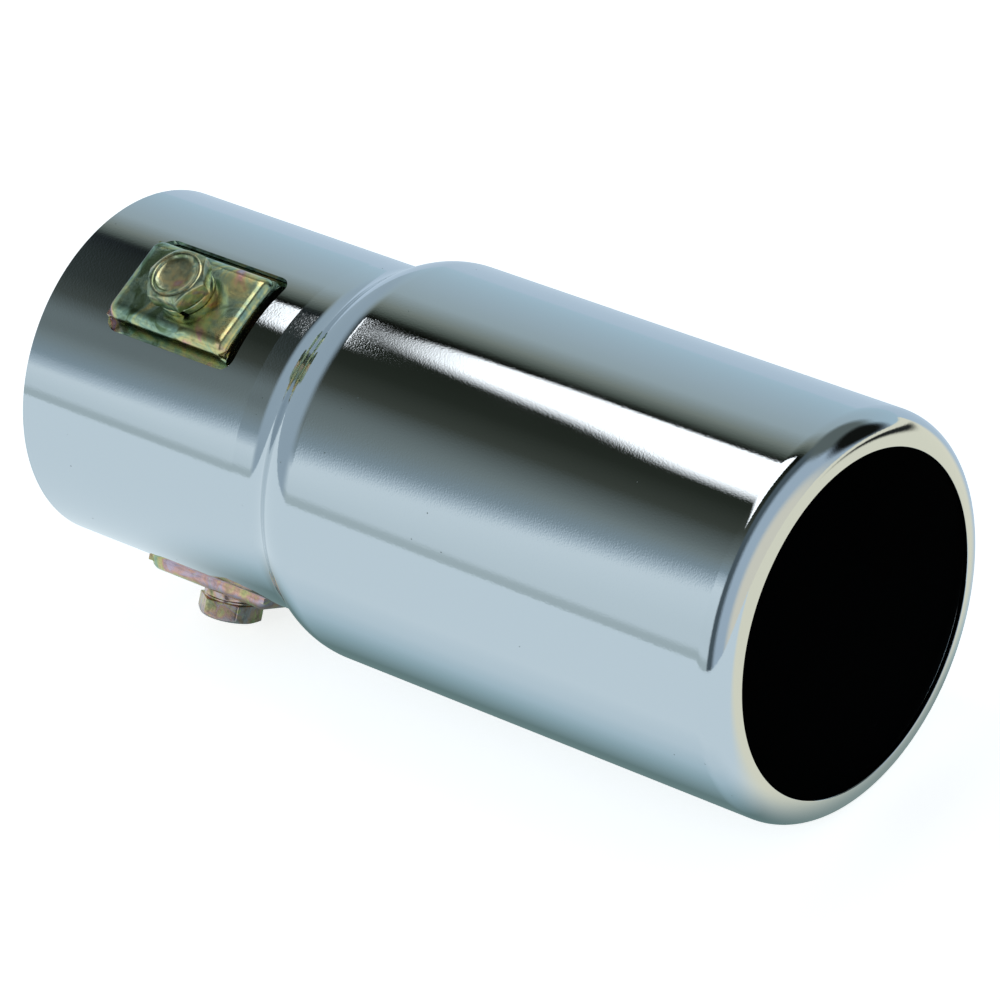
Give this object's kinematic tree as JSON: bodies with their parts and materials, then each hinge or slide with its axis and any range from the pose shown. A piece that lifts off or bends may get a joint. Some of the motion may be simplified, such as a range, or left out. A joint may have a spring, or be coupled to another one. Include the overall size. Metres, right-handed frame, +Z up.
{
  "type": "exhaust tip",
  "caption": "Round clamp-on exhaust tip: a narrow neck that slips over a tailpipe, stepping up to a wider barrel with a turned-in lip, held by bolts through stamped brackets.",
  "frame": {"origin": "centre of the neck's cut end, where the tailpipe goes in", "axes": "+X along the tip's axis towards the outlet, +Z up as it lies"},
  "size_m": [0.169, 0.0792, 0.0783],
  "materials": {
    "polished_shell": "mirror-polished steel tube outside, matt black heat-resistant paint inside",
    "plated_bracket": "pressed steel with iridescent yellow zinc passivate",
    "plated_washer": "spring steel with dull yellow zinc passivate",
    "plated_bolt": "steel with iridescent yellow zinc passivate"
  },
  "bodies": {
    "tip": {"tip_body": "polished_shell", "clamp_bracket_1": "plated_bracket", "clamp_bracket_2": "plated_bracket", "clamp_bracket_3": "plated_bracket"},
    "bolt_1": {"clamp_bolt_1": "plated_bolt", "spring_washer_1": "plated_washer"},
    "bolt_2": {"clamp_bolt_2": "plated_bolt", "spring_washer_2": "plated_washer"},
    "bolt_3": {"clamp_bolt_3": "plated_bolt", "spring_washer_3": "plated_washer"}
  },
  "joints": [
    {"name": "bolt_1_travel", "type": "slide", "parent": "tip", "child": "bolt_1", "axis": [0, -0.3256, 0.9455], "range_m": [0, 0.01]},
    {"name": "bolt_2_travel", "type": "slide", "parent": "tip", "child": "bolt_2", "axis": [0, -0.5225, -0.8526], "range_m": [0, 0.01]},
    {"name": "bolt_3_travel", "type": "slide", "parent": "tip", "child": "bolt_3", "axis": [0, 0.9936, -0.1132], "range_m": [0, 0.01]}
  ]
}
